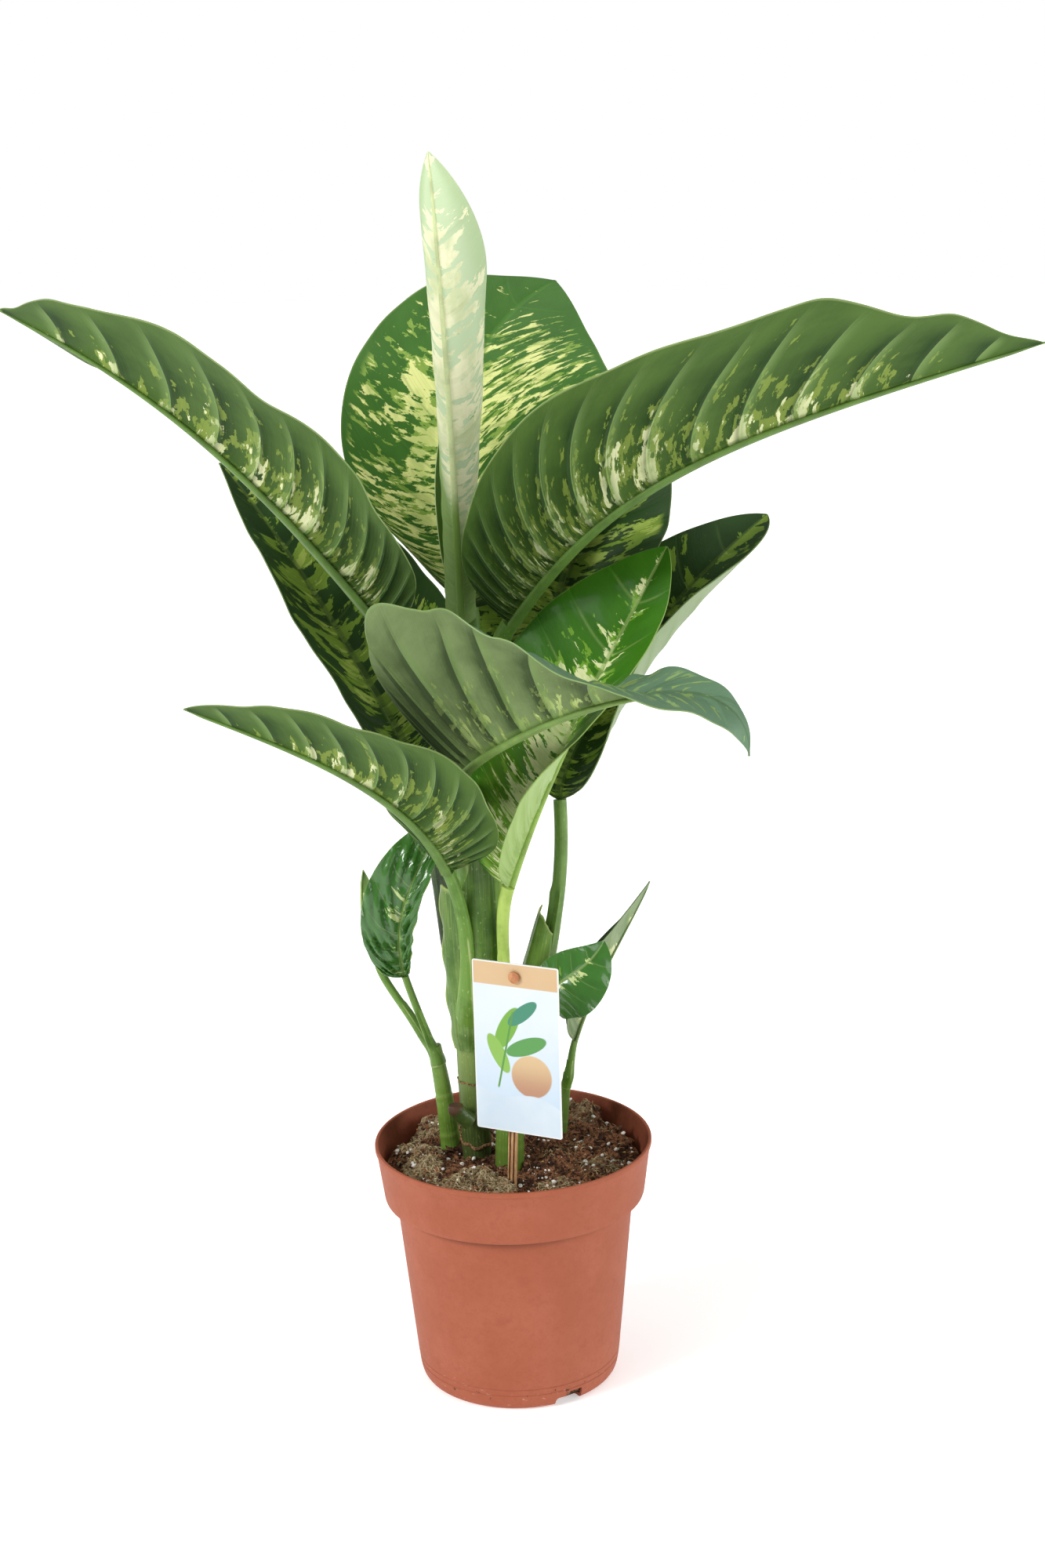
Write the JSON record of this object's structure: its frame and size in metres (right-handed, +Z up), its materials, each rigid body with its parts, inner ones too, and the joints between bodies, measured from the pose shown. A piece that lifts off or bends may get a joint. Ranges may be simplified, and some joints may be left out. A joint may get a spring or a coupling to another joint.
{
  "type": "potted dieffenbachia",
  "caption": "Broad-leaved variegated house plant on two upright canes with side shoots, growing in a tapered round nursery pot of peat, with a blank picture label on a pin.",
  "frame": {"origin": "centre of the pot's flat foot, where the pot stands on a table or floor", "axes": "+Z up along the pot's axis; the front, where the label faces, looks along -Y; +X is to the viewer's right"},
  "size_m": [0.5621, 0.3565, 0.7361],
  "materials": {
    "pot": "terracotta-coloured plastic, satin, slightly scuffed",
    "soil": "moist peat with fibres, perlite and moss",
    "cane": "green plant stem, satin, ringed by leaf scars",
    "stalk": "smooth green leaf stalk, satin",
    "blade": "dark green leaf with cream-yellow flecks, satin",
    "blade_bright": "young bright green leaf with cream flecks, glossy",
    "blade_pale": "pale mint young leaf, satin",
    "card": "printed plastic card, semi-gloss",
    "pin": "tan plastic, matte"
  },
  "bodies": {
    "root": {"pot": "pot", "soil": "soil", "stem_main": "cane", "stem_second": "cane", "stem_left": "cane", "stem_right": "cane", "leaf_newest_stalk": "stalk", "leaf_newest_blade": "blade_pale", "leaf_centre_back_stalk": "stalk", "leaf_centre_back_blade": "blade", "leaf_left_upper_stalk": "stalk", "leaf_left_upper_blade": "blade", "leaf_right_upper_stalk": "stalk", "leaf_right_upper_blade": "blade", "leaf_left_behind_stalk": "stalk", "leaf_left_behind_blade": "blade", "leaf_right_behind_stalk": "stalk", "leaf_right_behind_blade": "blade", "leaf_right_lower_stalk": "stalk", "leaf_right_lower_blade": "blade", "leaf_front_bright_stalk": "stalk", "leaf_front_bright_blade": "blade_bright", "leaf_front_twisted_stalk": "stalk", "leaf_front_twisted_blade": "blade", "leaf_left_lower_stalk": "stalk", "leaf_left_lower_blade": "blade", "leaf_shoot_left_outer_stalk": "stalk", "leaf_shoot_left_outer_blade": "blade_bright", "leaf_shoot_left_inner_stalk": "stalk", "leaf_shoot_left_inner_blade": "blade_bright", "leaf_shoot_right_front_stalk": "stalk", "leaf_shoot_right_front_blade": "blade", "leaf_shoot_right_back_stalk": "stalk", "leaf_shoot_right_back_blade": "blade", "label_card": "card", "label_pin": "pin"}
  },
  "joints": []
}
